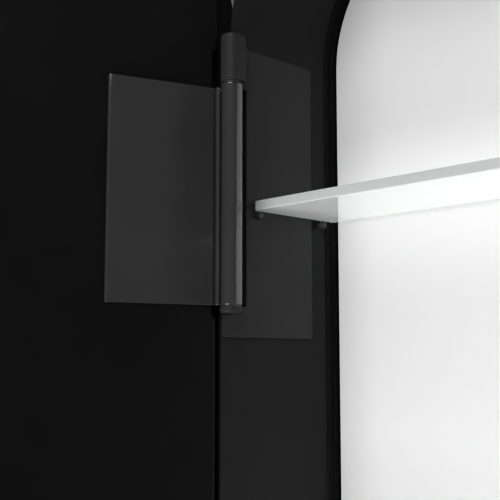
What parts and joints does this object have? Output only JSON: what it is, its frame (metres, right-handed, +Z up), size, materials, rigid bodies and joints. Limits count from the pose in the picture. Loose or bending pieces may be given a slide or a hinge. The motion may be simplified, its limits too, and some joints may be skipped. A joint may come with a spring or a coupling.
{
  "type": "medicine cabinet with mirror",
  "caption": "Surface-mounted black medicine cabinet with rounded corners, a mirrored door on barrel hinges and glass shelves.",
  "frame": {"origin": "centre of the flat back face that meets the wall", "axes": "+X right seen from the front, +Y into the wall, +Z up; the front faces -Y"},
  "size_m": [0.6747, 0.5635, 0.711],
  "materials": {
    "case_black": "satin powder coat",
    "hinge_black": "satin powder coat, slightly lighter",
    "knuckle_black": "satin powder coat with a glossy topcoat",
    "door_black": "satin powder coat, inner face of the door",
    "frame_black": "satin powder coat, front frame",
    "light_back": "light silvered panel, soft satin reflections",
    "bead_black": "matt black bead",
    "pin_steel": "plain ground steel",
    "washer_black": "black acetal",
    "bush_nylon": "plain",
    "glass": "clear float glass, polished edges",
    "mirror": "silvered",
    "board": "fibreboard, bare",
    "core_board": "light core board, bare",
    "catch_plastic": "black moulded",
    "magnet": "dull plated",
    "screw_zinc": "zinc plated",
    "strike_zinc": "zinc plated",
    "peg_black": "satin black steel",
    "sleeve_black": "soft black",
    "bumper_rubber": "soft black"
  },
  "bodies": {
    "cabinet": {"side_band": "case_black", "back_pan": "case_black", "back_liner": "light_back", "liner_bead": "bead_black", "top_lip": "case_black", "bottom_lip": "case_black", "hinge_wall_leaf_upper": "hinge_black", "hinge_wall_leaf_lower": "hinge_black", "hinge_pins": "pin_steel", "hinge_washers": "washer_black", "hinge_caps": "hinge_black", "catch_body": "catch_plastic", "catch_magnet": "magnet", "catch_screws": "screw_zinc", "shelf_pegs_upper": "peg_black", "shelf_pegs_middle": "peg_black", "shelf_pegs_lower": "peg_black", "peg_sleeves_upper": "sleeve_black", "peg_sleeves_middle": "sleeve_black", "peg_sleeves_lower": "sleeve_black"},
    "shelf_upper": {"shelf_upper": "glass"},
    "shelf_middle": {"shelf_middle": "glass"},
    "shelf_lower": {"shelf_lower": "glass"},
    "door": {"door_frame": "frame_black", "door_mirror": "mirror", "mirror_backing": "board", "door_core": "core_board", "door_pan": "door_black", "hinge_door_leaf_upper": "knuckle_black", "hinge_door_leaf_lower": "knuckle_black", "hinge_bushes": "bush_nylon", "strike_plate": "strike_zinc", "strike_screws": "screw_zinc", "door_bumpers": "bumper_rubber"}
  },
  "joints": [
    {"name": "door_swing", "type": "hinge", "parent": "cabinet", "child": "door", "pos_m": [-0.2461, -0.09, 0], "axis": [0, 0, -1], "range_deg": [-108, 0]},
    {"name": "shelf_upper_lift", "type": "slide", "parent": "cabinet", "child": "shelf_upper", "axis": [0, 0, 1], "range_m": [0, 0.08]},
    {"name": "shelf_middle_lift", "type": "slide", "parent": "cabinet", "child": "shelf_middle", "axis": [0, 0, 1], "range_m": [0, 0.08]},
    {"name": "shelf_lower_lift", "type": "slide", "parent": "cabinet", "child": "shelf_lower", "axis": [0, 0, 1], "range_m": [0, 0.08]}
  ]
}
